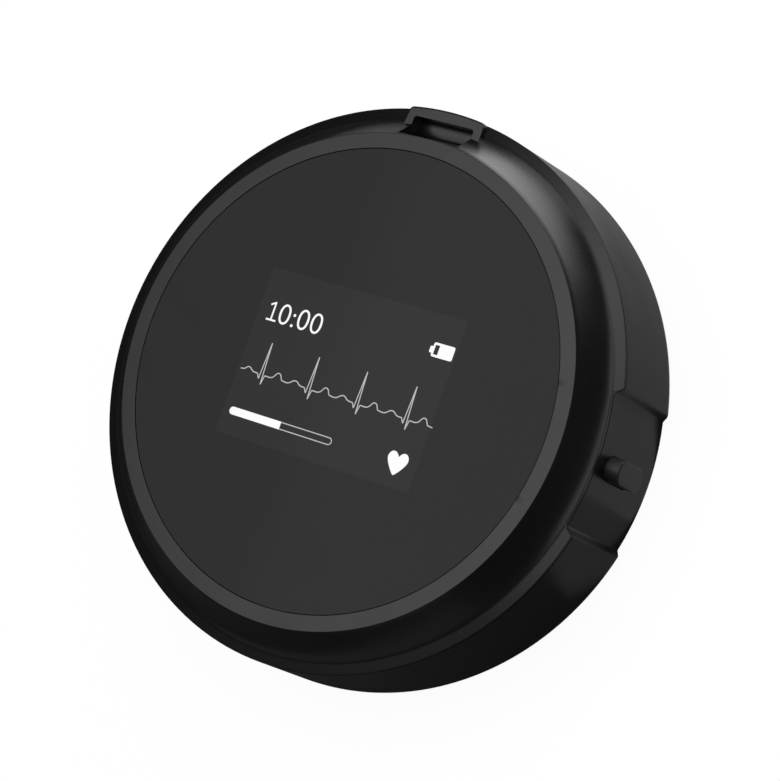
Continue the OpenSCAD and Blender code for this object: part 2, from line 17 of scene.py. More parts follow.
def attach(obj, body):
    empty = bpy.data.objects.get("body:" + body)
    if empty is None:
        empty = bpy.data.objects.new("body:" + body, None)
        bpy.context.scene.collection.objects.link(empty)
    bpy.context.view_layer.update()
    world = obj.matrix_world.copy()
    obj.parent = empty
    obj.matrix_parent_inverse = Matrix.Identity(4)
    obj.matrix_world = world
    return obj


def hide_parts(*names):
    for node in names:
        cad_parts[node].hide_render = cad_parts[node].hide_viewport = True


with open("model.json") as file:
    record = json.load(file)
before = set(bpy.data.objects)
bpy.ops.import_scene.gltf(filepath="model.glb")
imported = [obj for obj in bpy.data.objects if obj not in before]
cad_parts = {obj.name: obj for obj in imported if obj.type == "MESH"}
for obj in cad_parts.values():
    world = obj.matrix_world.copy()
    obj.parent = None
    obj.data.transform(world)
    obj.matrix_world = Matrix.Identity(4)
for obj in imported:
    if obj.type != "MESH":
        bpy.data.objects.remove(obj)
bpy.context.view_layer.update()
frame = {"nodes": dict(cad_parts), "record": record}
nodes = frame["nodes"]
slots = {s["node"]: s["material_slot"] for s in frame["record"]["subparts"]}
scene = bpy.context.scene
MM = 0.001

# %% [markdown]
# ## Camera
# The photograph looks down at the front from the button's side, and it is turned so that the
# picture on the screen slopes. One way is to type a rotation. A clearer one is used here: the
# camera is placed, aimed at a point with a track quaternion, and rolled about its own view line.

# %% Place the camera
aim = Vector((6.494, 0.280, 16.8)) * MM
place = Vector((131.271, -17.690, 231.254)) * MM
roll = math.radians(-62.93)

camera = bpy.data.objects.new("camera", bpy.data.cameras.new("camera"))
scene.collection.objects.link(camera)
camera.data.lens = 110.35
camera.data.sensor_width = 36
camera.data.clip_start = 0.01
camera.location = place
camera.rotation_mode = "QUATERNION"
camera.rotation_quaternion = (aim - place).to_track_quat("-Z", "Y") @ Quaternion((0, 0, 1), roll)
scene.camera = camera
print("camera is", round((place - aim).length * 1000, 1), "mm from the lens")

# %% [markdown]
# ## Light
# Black plastic shows what it reflects, so each lamp is placed for what it draws. A broad box
# over the lens makes it an even grey. The flare in the cove is light that comes up from the
# floor behind the lanyard bar, so flat lamps lie there and face up. The rest of the
# surroundings stays dim, which keeps the far side of the cove black, and is brighter only below
# the floor, where a view of the back needs it. The lamps are hidden from the camera.

# %% World: dim to the object, white to the camera
scene.view_settings.view_transform = "Standard"
world = bpy.data.worlds.new("studio")
scene.world = world
world.use_nodes = True
wn, wl = world.node_tree.nodes, world.node_tree.links
wn.clear()


def add_up(nodes, links, parts, base):
    """Sum of light path flags times weights, plus a base, as one value socket."""
    rays = nodes.new("ShaderNodeLightPath")
    last = None
    for flag, weight in parts:
        step = nodes.new("ShaderNodeMath")
        step.operation = "MULTIPLY_ADD"
        links.new(rays.outputs[flag], step.inputs[0])
        step.inputs[1].default_value = weight
        if last is None:
            step.inputs[2].default_value = base
        else:
            links.new(last, step.inputs[2])
        last = step.outputs[0]
    return last


# %% Light from all round, and more from below
AROUND, BELOW = 0.045, 0.45
CLEAR_LIFT, GLOSSY_LIFT = 0.5, 0.01
world_out = wn.new("ShaderNodeOutputWorld")
around = wn.new("ShaderNodeBackground")
around.inputs["Color"].default_value = (1, 1, 1, 1)
seen_world = [("Is Camera Ray", 1 - AROUND), ("Is Transmission Ray", CLEAR_LIFT),
              ("Is Glossy Ray", GLOSSY_LIFT)]
direction = wn.new("ShaderNodeTexCoord")
split = wn.new("ShaderNodeSeparateXYZ")
under = wn.new("ShaderNodeMapRange")
for name, value in (("From Min", -0.05), ("From Max", -0.02), ("To Min", BELOW),
                    ("To Max", 0.0)):
    under.inputs[name].default_value = value
both = wn.new("ShaderNodeMath")
both.operation = "ADD"
wl.new(direction.outputs["Generated"], split.inputs[0])
wl.new(split.outputs["Z"], under.inputs["Value"])
wl.new(under.outputs["Result"], both.inputs[0])
wl.new(add_up(wn, wl, seen_world, AROUND), both.inputs[1])
wl.new(both.outputs[0], around.inputs["Strength"])
wl.new(around.outputs[0], world_out.inputs["Surface"])
print("the world lights the object at", AROUND)


# %% Lamps
def soft_lamp(name, centre, target, width, height, brightness):
    """A rectangular lamp whose face has the given brightness, aimed at a point."""
    lamp = bpy.data.lights.new(name, "AREA")
    lamp.shape = "RECTANGLE"
    lamp.size = width
    lamp.size_y = height
    lamp.energy = brightness * math.pi * width * height
    holder = bpy.data.objects.new(name, lamp)
    scene.collection.objects.link(holder)
    holder.location = centre
    holder.rotation_euler = (Vector(target) - Vector(centre)).to_track_quat("-Z", "Y").to_euler()
    holder.visible_camera = False
    print(name, "gives", round(lamp.energy, 3), "W")
    return holder


soft_lamp("overhead_softbox", (-0.10, 0.06, 0.50), (-0.10, 0.06, 0), 0.40, 0.36, 1.4)
soft_lamp("overhead_far", (-0.355, 0.06, 0.50), (-0.355, 0.06, 0), 0.11, 0.36, 1.15)
soft_lamp("overhead_back", (-0.05, 0.31, 0.50), (-0.05, 0.31, 0), 0.38, 0.14, 1.3)
soft_lamp("rear_panel", (0.0, 0.45, 0.25), (0.0, 0, 0.25), 0.18, 0.50, 1.1)
soft_lamp("side_panel_right", (0.354, 0.0, 0.36), (0, 0, 0.01), 0.33, 0.27, 0.75)
soft_lamp("side_panel_rear", (0.228, 0.271, 0.36), (0, 0, 0.01), 0.33, 0.27, 0.85)
soft_lamp("front_panel", (-0.25, -0.25, 0.50), (-0.25, -0.25, 0), 0.50, 0.25, 0.2)
soft_lamp("front_low", (-0.05, -0.50, 0.18), (-0.05, 0, 0.18), 0.80, 0.30, 0.13)

# %% Light that comes up from the floor beside the object
LAMP_LIFT = 0.0005
for name, x, y, width, height, brightness in (
        ("floor_strip", 0.022, 0.082, 0.065, 0.065, 3.2),
        ("floor_beyond", 0.070, 0.275, 0.180, 0.320, 1.7),
        ("floor_above", 0.035, 0.060, 0.130, 0.060, 0.33),
        ("floor_right", 0.055, 0.019, 0.090, 0.022, 0.24),
        ("floor_middle", 0.065, 0.002, 0.0692, 0.012, 0.26),
        ("floor_low", 0.065, -0.010, 0.0692, 0.012, 0.13)):
    soft_lamp(name, (x, y, LAMP_LIFT), (x, y, 1), width, height, brightness)

# %% [markdown]
# ## Floor
# The monitor lies on a plain pale floor. The camera sees it lifted to white by an emission that
# only its own rays reach, and glossy and clear surfaces see a part of that lift. The soft shadow
# stays, because the rest of the floor's brightness is plain diffuse light. The floor is a ring
# whose hole is hidden under the monitor, and it is clear from below, so that the skin contacts
# can be looked at from there too.

# %% Floor with a hidden hole
FLOOR_R, HOLE_R, FLOOR_DROP = 3.0, 0.0285, 0.00005
bm = bmesh.new()
for radius in (FLOOR_R, HOLE_R):
    bmesh.ops.create_circle(bm, radius=radius, segments=64)
bmesh.ops.bridge_loops(bm, edges=bm.edges[:])
bmesh.ops.recalc_face_normals(bm, faces=bm.faces)
if bm.faces[:][0].normal.z < 0:
    bmesh.ops.reverse_faces(bm, faces=bm.faces)
bmesh.ops.translate(bm, vec=(0, 0, -FLOOR_DROP), verts=bm.verts)
floor_mesh = bpy.data.meshes.new("floor")
bm.to_mesh(floor_mesh)
bm.free()
floor = bpy.data.objects.new("floor", floor_mesh)
scene.collection.objects.link(floor)
print("floor is", round(floor.dimensions.x, 1), "m wide")

# %% Floor finish
floor_paint = bpy.data.materials.new("pale_floor")
floor_paint.use_nodes = True
fn, fl = floor_paint.node_tree.nodes, floor_paint.node_tree.links
fn.clear()
floor_out = fn.new("ShaderNodeOutputMaterial")
matt = fn.new("ShaderNodeBsdfDiffuse")
matt.inputs["Color"].default_value = (0.11, 0.11, 0.11, 1)
lift = fn.new("ShaderNodeEmission")
lift.inputs["Color"].default_value = (1, 1, 1, 1)
total = fn.new("ShaderNodeAddShader")
seen_floor = [("Is Camera Ray", 0.95), ("Is Transmission Ray", CLEAR_LIFT),
              ("Is Glossy Ray", GLOSSY_LIFT)]
fl.new(add_up(fn, fl, seen_floor, 0.0), lift.inputs["Strength"])
fl.new(matt.outputs[0], total.inputs[0])
fl.new(lift.outputs[0], total.inputs[1])
side = fn.new("ShaderNodeNewGeometry")
clear = fn.new("ShaderNodeBsdfTransparent")
choice = fn.new("ShaderNodeMixShader")
fl.new(side.outputs["Backfacing"], choice.inputs["Fac"])
fl.new(total.outputs[0], choice.inputs[1])
fl.new(clear.outputs[0], choice.inputs[2])
fl.new(choice.outputs[0], floor_out.inputs["Surface"])
floor.data.materials.append(floor_paint)
print("the camera sees", floor_paint.name, "lifted to white")

# %% [markdown]
# ## Finishes
# Moulded black plastic is one deep colour whose gloss and grain vary a little. A flat colour
# looks like a drawing, so each finish is a Principled shader with its plain colour on the
# socket, and noise on Object coordinates for small differences in gloss and height. Object
# coordinates stay with the piece when it moves.


# %% Finish with fine grain
def finish(name, colour, rough, grain=1.0, size=0.25, metal=0.0, ior=1.5, wear=0.04,
           stretch=(1, 1, 1)):
    """Plastic, metal or rubber. Grain is its height in micrometres and size its width in mm."""
    made = bpy.data.materials.new(name)
    made.use_nodes = True
    n, l = made.node_tree.nodes, made.node_tree.links
    shader = n["Principled BSDF"]
    shader.inputs["Base Color"].default_value = (*colour, 1)
    shader.inputs["Metallic"].default_value = metal
    shader.inputs["IOR"].default_value = ior
    where = n.new("ShaderNodeTexCoord")
    turn = n.new("ShaderNodeMapping")
    turn.name = "place"
    turn.inputs["Scale"].default_value = stretch
    l.new(where.outputs["Object"], turn.inputs["Vector"])
    cloud = n.new("ShaderNodeTexNoise")
    cloud.inputs["Scale"].default_value = 180
    cloud.inputs["Detail"].default_value = 4
    l.new(where.outputs["Object"], cloud.inputs["Vector"])
    gloss = n.new("ShaderNodeMapRange")
    gloss.inputs["From Min"].default_value = 0.3
    gloss.inputs["From Max"].default_value = 0.7
    gloss.inputs["To Min"].default_value = rough - wear
    gloss.inputs["To Max"].default_value = rough + wear
    l.new(cloud.outputs["Fac"], gloss.inputs["Value"])
    l.new(gloss.outputs["Result"], shader.inputs["Roughness"])
    grit = n.new("ShaderNodeTexNoise")
    grit.name = "grit"
    grit.inputs["Scale"].default_value = 1000 / size
    grit.inputs["Detail"].default_value = 2
    l.new(turn.outputs["Vector"], grit.inputs["Vector"])
    bump = n.new("ShaderNodeBump")
    bump.name = "bump"
    bump.inputs["Strength"].default_value = 1.0
    bump.inputs["Distance"].default_value = grain * 1e-6
    l.new(grit.outputs["Fac"], bump.inputs["Height"])
    l.new(bump.outputs["Normal"], shader.inputs["Normal"])
    return made


# %% Two colours by a pattern
def two_tone(made, texture, low, high, first, second):
    """The base colour runs from first to second as the pattern goes from low to high."""
    n, l = made.node_tree.nodes, made.node_tree.links
    ramp = n.new("ShaderNodeValToRGB")
    ramp.color_ramp.elements[0].position = low
    ramp.color_ramp.elements[0].color = (*first, 1)
    ramp.color_ramp.elements[1].position = high
    ramp.color_ramp.elements[1].color = (*second, 1)
    l.new(n["place"].outputs["Vector"], texture.inputs["Vector"])
    l.new(texture.outputs["Fac"], ramp.inputs["Fac"])
    l.new(ramp.outputs["Color"], n["Principled BSDF"].inputs["Base Color"])
    return made


def mottled(made, scale, first, second):
    """Cloudy variation between two close colours."""
    noise = made.node_tree.nodes.new("ShaderNodeTexNoise")
    noise.inputs["Scale"].default_value = scale
    noise.inputs["Detail"].default_value = 4
    return two_tone(made, noise, 0.35, 0.65, first, second)


def banded(made, scale, first, second, low=0.4, high=0.6):
    """Even stripes across X, such as conductors side by side."""
    wave = made.node_tree.nodes.new("ShaderNodeTexWave")
    wave.wave_type = "BANDS"
    wave.bands_direction = "X"
    wave.inputs["Scale"].default_value = scale
    return two_tone(made, wave, low, high, first, second)


# %% [markdown]
# ## Finishes of the pieces outside
# The front is satin black with a faint moulding grain, the back is more matt, and the lens is
# polished. The skin contacts are turned steel, so their grooves are rings round each contact's
# own middle: a Mapping node brings that middle to the pattern's centre.

# %% Outside finishes
case_black = finish("case_black", (0.0045, 0.0045, 0.005), 0.27, grain=0.4, ior=1.57, wear=0.02)
back_black = finish("back_black", (0.006, 0.006, 0.0065), 0.3, grain=1.6, size=0.35, ior=1.45)
button_black = finish("button_black", (0.018, 0.018, 0.0185), 0.42, grain=1.0)
lens_black = finish("lens_black", (0.005, 0.005, 0.0055), 0.1, grain=0.05, ior=1.345, wear=0.02)


def turned_steel(name, centre):
    """Steel with fine turning rings round a centre in metres."""
    made = finish(name, (0.62, 0.61, 0.6), 0.26, grain=0.5, metal=1.0, wear=0.05)
    n, l = made.node_tree.nodes, made.node_tree.links
    n["place"].inputs["Location"].default_value = (-centre[0], -centre[1], 0)
    rings = n.new("ShaderNodeTexWave")
    rings.wave_type = "RINGS"
    rings.rings_direction = "Z"
    rings.inputs["Scale"].default_value = 1500
    rings.inputs["Distortion"].default_value = 0.6
    rings.inputs["Detail"].default_value = 2
    l.new(n["place"].outputs["Vector"], rings.inputs["Vector"])
    l.new(rings.outputs["Fac"], n["bump"].inputs["Height"])
    return made


gold = finish("gold_plating", (0.83, 0.58, 0.22), 0.22, grain=0.4, metal=1.0)
screw_black = finish("screw_steel", (0.09, 0.09, 0.1), 0.34, grain=1.2, size=0.12, metal=1.0)
print("finishes so far:", len(bpy.data.materials))

# %% [markdown]
# ## Finishes of the pieces inside
# These show when the case is open. A circuit board is green lacquer over copper tracks, which
# a brick pattern gives in straight runs. A flat cable is amber film with a stripe for each
# conductor, a pouch cell is creased foil, and foam has coarse pores.

# %% Inside finishes
board = finish("circuit_board", (0.012, 0.1, 0.045), 0.3, grain=2.0, size=0.6)
tracks = board.node_tree.nodes.new("ShaderNodeTexBrick")
tracks.inputs["Color1"].default_value = (0.1, 0.1, 0.1, 1)
tracks.inputs["Color2"].default_value = (0.0, 0.0, 0.0, 1)
tracks.inputs["Scale"].default_value = 260
tracks.inputs["Mortar Size"].default_value = 0.035
tracks.inputs["Row Height"].default_value = 0.3
two_tone(board, tracks, 0.2, 0.9, (0.01, 0.095, 0.042), (0.03, 0.2, 0.08))

foil = finish("pouch_foil", (0.6, 0.61, 0.63), 0.3, grain=18.0, size=2.5, metal=1.0, wear=0.08)
flex = banded(finish("flex_film", (0.4, 0.17, 0.03), 0.3), 420, (0.33, 0.13, 0.02),
              (0.55, 0.27, 0.07))
foam = mottled(finish("foam", (0.05, 0.05, 0.055), 0.85, grain=30, size=0.2), 6000,
               (0.02, 0.02, 0.022), (0.07, 0.07, 0.075))
ceramic = mottled(finish("component_ceramic", (0.25, 0.16, 0.09), 0.5), 900,
                  (0.3, 0.2, 0.11), (0.62, 0.6, 0.56))
shield = finish("shield_metal", (0.6, 0.6, 0.62), 0.3, grain=0.8, size=0.1, metal=1.0,
                stretch=(0.05, 1, 1))
insides = {
    "black_plastic": case_black,
    "button_plastic": button_black,
    "lens_plastic": lens_black,
    "adhesive": mottled(finish("adhesive", (0.02, 0.02, 0.02), 0.7, grain=4), 1500,
                        (0.012, 0.012, 0.012), (0.03, 0.03, 0.03)),
    "foam": foam,
    "screen": finish("screen", (0.008, 0.009, 0.012), 0.08, grain=0.05),
    "carrier_plastic": finish("carrier_plastic", (0.045, 0.048, 0.055), 0.5, grain=3, size=0.3),
    "flex_film": flex,
    "cream_plastic": finish("cream_plastic", (0.68, 0.62, 0.5), 0.45, grain=2),
    "circuit_board": board,
    "chip_plastic": mottled(finish("chip_plastic", (0.015, 0.015, 0.017), 0.55, grain=3,
                                   size=0.08), 9000, (0.012, 0.012, 0.014), (0.022, 0.022, 0.025)),
    "shield_metal": shield,
    "component_ceramic": ceramic,
    "rubber_seal": finish("rubber_seal", (0.04, 0.04, 0.045), 0.7, grain=5, size=0.15),
    "pouch_foil": foil,
    "strip_tape": mottled(finish("strip_tape", (0.55, 0.33, 0.03), 0.4, grain=3, size=0.8), 500,
                          (0.5, 0.29, 0.025), (0.6, 0.38, 0.05)),
    "red_insulation": finish("red_insulation", (0.5, 0.02, 0.015), 0.42, grain=2),
    "black_insulation": finish("black_insulation", (0.02, 0.02, 0.02), 0.42, grain=2),
    "electrode_steel": turned_steel("electrode_steel", (0, 0)),
    "gold_plating": gold,
    "insert_brass": finish("insert_brass", (0.72, 0.5, 0.2), 0.3, grain=3, size=0.15, metal=1.0,
                           stretch=(1, 1, 0.05)),
    "screw_steel": screw_black,
}
for name, node in nodes.items():
    node.data.materials.clear()
    node.data.materials.append(insides[slots[name]])
print(len(insides), "finishes on", len(nodes), "solids")

# %% [markdown]
# ## Helpers for the new pieces
# Most pieces here are turned, so an outline spun about the Z axis makes them. Pieces are drawn
# in millimetres. One helper rounds an outline's corners, one spins it, one cuts, and one gives
# the finished mesh its place in the object.

# %% Sizes in millimetres, as in the solids
MERGE = 1e-4
TOP, LENS_R, RING_R, RIM_R, BELLY_R = 16.8, 25.2, 27.0, 31.0, 31.5
Z_RIM, Z_LIP, Z_CASE_TOP, Z_SEAT = 13.2, 13.1, 12.94, 15.6
WALL, STEP, FLOOR, BACK_EDGE, BACK_ROUND = 1.6, 0.9, 1.5, 31.617, 2.5
LENS_GAP, LENS_THICK, LENS_SUNK = 0.1, 1.0, 0.04
BUTTON_Z, BUTTON_LEN, BUTTON_W = 7.95, 6.4, 2.6
RECESS_DEPTH, RECESS_ANGLE, END_ANGLE = 1.2, 13.3, 1.45
EDGE_ROUND, FOOT, INNER_SHIFT = 0.06, 0.6, 1.225
SLOPE = (BELLY_R - RIM_R) / (Z_RIM - BACK_ROUND)
SCREWS = [(sx * 14.501, sy * 17.2) for sx in (-1, 1) for sy in (-1, 1)]
CONTACTS = [(0, 18.995), (-16.45, -9.4975), (16.45, -9.4975)]
CHARGERS = [(-3, -21.495), (3, -21.495)]


def wall_reach(z):
    """Radius of the drafted side wall at a height."""
    return RIM_R + (Z_RIM - z) * SLOPE


# %% Outlines with round corners
def rounded(outline):
    """A closed outline of (radius, height) or (radius, height, rounding) points."""
    made = []
    for i, point in enumerate(outline):
        here = Vector(point[:2])
        bend = point[2] if len(point) > 2 else 0
        if not bend:
            made.append(tuple(here))
            continue
        back = (Vector(outline[i - 1][:2]) - here).normalized()
        on = (Vector(outline[(i + 1) % len(outline)][:2]) - here).normalized()
        half = back.angle(on) / 2
        centre = here + (back + on).normalized() * bend / math.sin(half)
        a = here + back * bend / math.tan(half) - centre
        b = here + on * bend / math.tan(half) - centre
        turn = math.atan2(a.x * b.y - a.y * b.x, a.dot(b))
        steps = 3 if bend < 0.3 else 5 if bend < 1 else 14
        for k in range(steps + 1):
            made.append(tuple(centre + Matrix.Rotation(turn * k / steps, 2) @ a))
    return made


# %% Spin an outline
def spun(outline, steps=96, centre=(0, 0)):
    """A turned piece about a vertical line; an outline that starts on the axis stays open."""
    bm = bmesh.new()
    points = rounded(outline)
    row = [bm.verts.new((r, 0, z)) for r, z in points]
    pairs = list(zip(row, row[1:]))
    if points[0][0] > 0:
        pairs.append((row[-1], row[0]))
    edges = [bm.edges.new(pair) for pair in pairs]
    bmesh.ops.spin(bm, geom=row + edges, axis=(0, 0, 1), cent=(0, 0, 0),
                   angle=math.tau, steps=steps, use_merge=True)
    bmesh.ops.remove_doubles(bm, verts=bm.verts, dist=MERGE)
    bmesh.ops.recalc_face_normals(bm, faces=bm.faces)
    bmesh.ops.translate(bm, vec=(centre[0], centre[1], 0), verts=bm.verts)
    return bm


# %% Cut, join and gather meshes
def as_object(bm, name):
    """A scene object from a mesh, which is used up."""
    mesh = bpy.data.meshes.new(name)
    bm.to_mesh(mesh)
    bm.free()
    made = bpy.data.objects.new(name, mesh)
    scene.collection.objects.link(made)
    return made


def carved(bm, tool, how="DIFFERENCE"):
    """The mesh after a Boolean with a tool mesh; both meshes are used up."""
    body, cutter = as_object(bm, "work"), as_object(tool, "tool")
    step = body.modifiers.new("cut", "BOOLEAN")
    step.operation = how
    step.solver = "EXACT"
    step.object = cutter
    bpy.context.view_layer.update()
    result = bpy.data.meshes.new_from_object(
        body.evaluated_get(bpy.context.evaluated_depsgraph_get()))
    out = bmesh.new()
    out.from_mesh(result)
    for temp in (body, cutter):
        mesh = temp.data
        bpy.data.objects.remove(temp)
        bpy.data.meshes.remove(mesh)
    bpy.data.meshes.remove(result)
    bmesh.ops.remove_doubles(out, verts=out.verts, dist=MERGE)
    return out


def gathered(first, *rest):
    """One mesh that holds several closed shells."""
    for bm in rest:
        mesh = bpy.data.meshes.new("shell")
        bm.to_mesh(mesh)
        bm.free()
        first.from_mesh(mesh)
        bpy.data.meshes.remove(mesh)
    return first


# %% Finish a piece
def settled(bm, name, made_of, body="housing", stands_for=(), sharp=32):
    """Scale to metres, mark sharp edges, hide the solids it stands for, and hang the piece on its
    body.
    """
    bmesh.ops.scale(bm, vec=(MM, MM, MM), verts=bm.verts)
    for face in bm.faces:
        face.smooth = True
    for edge in bm.edges:
        edge.smooth = edge.is_manifold and edge.calc_face_angle(0) < math.radians(sharp)
    piece = as_object(bm, name)
    piece.data.materials.append(made_of)
    even = piece.modifiers.new("even_normals", "WEIGHTED_NORMAL")
    even.keep_sharp = True
    if stands_for:
        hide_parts(*stands_for)
    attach(piece, body)
    print(name, "has", len(piece.data.polygons), "faces")
    return piece


# %% [markdown]
# ## Recess for the button
# Both housings dip in at 3 o'clock to a curved floor that turns up into two steep ends.
# Cutting it with a Boolean would leave thin slivers on the curved wall. Instead the turned
# wall's own columns are gathered round the recess, and its points are pushed in to the floor.

# %% Columns round the recess
half = [RECESS_ANGLE * k / 10 for k in range(1, 11)]
half += [RECESS_ANGLE + END_ANGLE * k / 12 for k in range(1, 13)]
half += [RECESS_ANGLE + END_ANGLE + math.degrees(EDGE_ROUND * k / 3 / BELLY_R)
         for k in range(1, 4)]
rest_of_turn = 180 - half[-1]
half += [half[-1] + rest_of_turn * k / 120 for k in range(1, 120)]
columns = [0.0] + half + [180.0] + [360 - a for a in reversed(half)]
print(len(columns), "columns")


# %% Reach of the recess
# The end of the recess starts with a fillet, goes on straight and rounds over at the wall. On
# the inner faces it starts a little later, so that the wall keeps its thickness.

def recess_reach(angle, z, inset):
    """How far out the recess lets the wall stand at an angle in degrees."""
    away = abs((angle + 180) % 360 - 180)
    reach = wall_reach(z) - inset
    past = (away - RECESS_ANGLE - INNER_SHIFT * inset) / END_ANGLE
    if past <= 0:
        return reach - RECESS_DEPTH
    edge = EDGE_ROUND - math.radians(away - RECESS_ANGLE - END_ANGLE) * BELLY_R
    if inset == 0 and 0 <= edge <= EDGE_ROUND and past >= 1:
        return reach - EDGE_ROUND + math.sqrt(EDGE_ROUND**2 - edge**2)
    if past >= 1:
        return math.inf
    risen = past**2 / (2 * FOOT) if past < FOOT else past - FOOT / 2
    sunk = RECESS_DEPTH * (1 - risen / (1 - FOOT / 2))
    return min(reach - sunk, reach - (0 if inset else EDGE_ROUND))


def dipped(bm, inset_at):
    """Turn the columns to their angles and push the wall in to the recess."""
    even = 360 / len(columns)
    for v in bm.verts:
        reach = math.hypot(v.co.x, v.co.y)
        angle = columns[round(math.degrees(math.atan2(v.co.y, v.co.x)) / even) % len(columns)]
        reach = min(reach, recess_reach(angle, v.co.z, inset_at(reach, v.co.z)))
        v.co.x = reach * math.cos(math.radians(angle))
        v.co.y = reach * math.sin(math.radians(angle))
    return bm


print("the recess is", round(2 * (RECESS_ANGLE + END_ANGLE), 1), "degrees wide")

# %% [markdown]
# ## Front housing
# The front housing is a turned ring: a groove for the lens, a flat ring, the hollow cove, the
# brim, and the lip over the parting line. The cove is a curve that leaves the ring steeply and
# runs out flat, so three control points draw it.

# %% Cove and brim outline
BRIM, BRIM_SLOPE, COVE_STEPS = 1.1, math.radians(16), 24
LEDGE_IN, Z_UNDER = 22.9, 14.4
cove_top = Vector((RING_R, TOP))
cove_end = Vector((RIM_R - BRIM, Z_RIM + BRIM * math.tan(BRIM_SLOPE)))
cove_bend = Vector((29.149, 13.731))
cove = []
for k in range(1, COVE_STEPS + 1):
    t = k / COVE_STEPS
    cove.append(tuple((1 - t) ** 2 * cove_top + 2 * t * (1 - t) * cove_bend + t * t * cove_end))
brim = [tuple(cove_end.lerp(Vector((RIM_R, Z_RIM)), k / 8)) for k in range(1, 8)]
bezel_outline = (
    [(LEDGE_IN, Z_SEAT), (LENS_R + LENS_GAP, Z_SEAT), (LENS_R + LENS_GAP, TOP, 0.03),
     (RING_R, TOP, 0.06)] + cove[1:] + brim
    + [(RIM_R, Z_RIM, 0.02), (RIM_R, Z_LIP), (28.4, Z_LIP), (26.3, Z_UNDER),
       (LEDGE_IN, Z_UNDER)]
)
bezel = dipped(spun(bezel_outline, steps=len(columns)), lambda r, z: 0)
print("cove falls", round(cove_top.y - cove_end.y, 2), "mm")

# %% [markdown]
# ## Lanyard lug
# The lug is a block that sits in the cove at 12 o'clock, flush with the rim. A pocket with a
# leaning wall opens in front of its bar, and a channel leads out under the bar over a low crest.
# The block is joined and the hollows are cut with Booleans. Then its front edges are softened
# with bevels, a larger one on the outer edge.

# %% Plan of the lug
LUG_HALF, LUG_FRONT, LUG_LOW, BAR_UNDER, CHANNEL = 4.75, 14.3, 10.9, 13.3, 12.0
LUG_CORNER, BAR_IN, BAR_CUT_IN, POCKET_IN = 0.5, 29.7, 28.1, 27.05
SLOT_W, SLOT_CORNER = 7.6, 0.35
lug_r = RIM_R + 0.01
cx = LUG_HALF - LUG_CORNER
cy = math.sqrt((lug_r - LUG_CORNER) ** 2 - cx**2)
lean = math.atan2(cy, cx)
side = [(LUG_HALF, 25.85)]
side += [(cx + LUG_CORNER * math.cos(lean * k / 5), cy + LUG_CORNER * math.sin(lean * k / 5))
         for k in range(6)]
side += [(lug_r * math.cos(lean + (math.pi / 2 - lean) * k / 6),
          lug_r * math.sin(lean + (math.pi / 2 - lean) * k / 6)) for k in range(1, 6)]
plan = side + [(0, lug_r)] + [(-x, y) for x, y in reversed(side)]


# %% Plates and bars
def plate(points, low, high, across="Z"):
    """A flat outline raised from low to high along one axis."""
    place_point = {"Z": lambda p: (p[0], p[1], low), "X": lambda p: (low, p[0], p[1])}[across]
    bm = bmesh.new()
    face = bm.faces.new([bm.verts.new(place_point(p)) for p in points])
    top = bmesh.ops.extrude_face_region(bm, geom=[face])["geom"]
    rise = {"Z": (0, 0, high - low), "X": (high - low, 0, 0)}[across]
    bmesh.ops.translate(bm, vec=rise, verts=[g for g in top if isinstance(g, bmesh.types.BMVert)])
    bmesh.ops.recalc_face_normals(bm, faces=bm.faces)
    return bm


def block(size, centre, corner=0.0):
    """A box whose upright edges are rounded."""
    bm = bmesh.new()
    bmesh.ops.create_cube(bm, size=1.0)
    bmesh.ops.scale(bm, vec=size, verts=bm.verts)
    bmesh.ops.translate(bm, vec=centre, verts=bm.verts)
    if corner:
        upright = [e for e in bm.edges
                   if abs(e.verts[0].co.z - e.verts[1].co.z) > size[2] / 2]
        bmesh.ops.bevel(bm, geom=upright, offset=corner, segments=5, profile=0.5,
                        affect="EDGES", material=-1)
    return bm


# %% Join the lug, cut the pocket and the channel
bezel = carved(bezel, plate(plan, LUG_LOW, LUG_FRONT), "UNION")
bend = 0.4
above = TOP + 0.2
channel = [(POCKET_IN - 0.05, above), (POCKET_IN + 0.15, 14.9),
           (POCKET_IN + 1.0, CHANNEL + bend)]
channel += [(POCKET_IN + 1.0 + bend - bend * math.cos(math.radians(15 * k)),
             CHANNEL + bend - bend * math.sin(math.radians(15 * k))) for k in range(1, 6)]
channel += [(BAR_IN - 0.2, CHANNEL + 0.35), (RIM_R, CHANNEL), (RIM_R + 3, CHANNEL),
            (RIM_R + 3, BAR_UNDER), (28.6, BAR_UNDER), (28.6, above)]
bezel = carved(bezel, plate(channel, -SLOT_W / 2, SLOT_W / 2, "X"))
bezel = carved(bezel, block((SLOT_W, BAR_IN - BAR_CUT_IN, 5),
                            (0, (BAR_IN + BAR_CUT_IN) / 2, BAR_UNDER + 2.45), SLOT_CORNER))
print("front housing has", len(bezel.faces), "faces before its bevel")


# %% Soften the lug's front edges
def crisp(bm, chosen):
    """Edges of a solid that stick out by more than 40 degrees and that a test picks."""
    return [e for e in bm.edges
            if e.is_manifold and e.is_convex and e.calc_face_angle(0) > math.radians(40)
            and all(chosen(v.co) for v in e.verts)]


def on_front(p, low, high):
    """Whether a point is on the lug's front face between two radii."""
    return abs(p.z - LUG_FRONT) < 1e-3 and p.y > 26 and low < math.hypot(p.x, p.y) < high


for low, high, offset in ((30.55, 32, 0.25), (20, 30.8, 0.1)):
    chosen = crisp(bezel, lambda p: on_front(p, low, high))
    bmesh.ops.bevel(bezel, geom=chosen, offset=offset, segments=4, profile=0.5,
                    affect="EDGES", material=-1, clamp_overlap=True)
    print(len(chosen), "edges softened by", offset, "mm")

# %% [markdown]
# ## Inside of the front housing
# A spigot below the lip centres the back housing, and four posts hold the threaded inserts.
# They are plain turned shells, gathered into the same mesh. The spigot stops either side of
# the recess and of the lug's channel, so it is two part turns, closed at their ends.

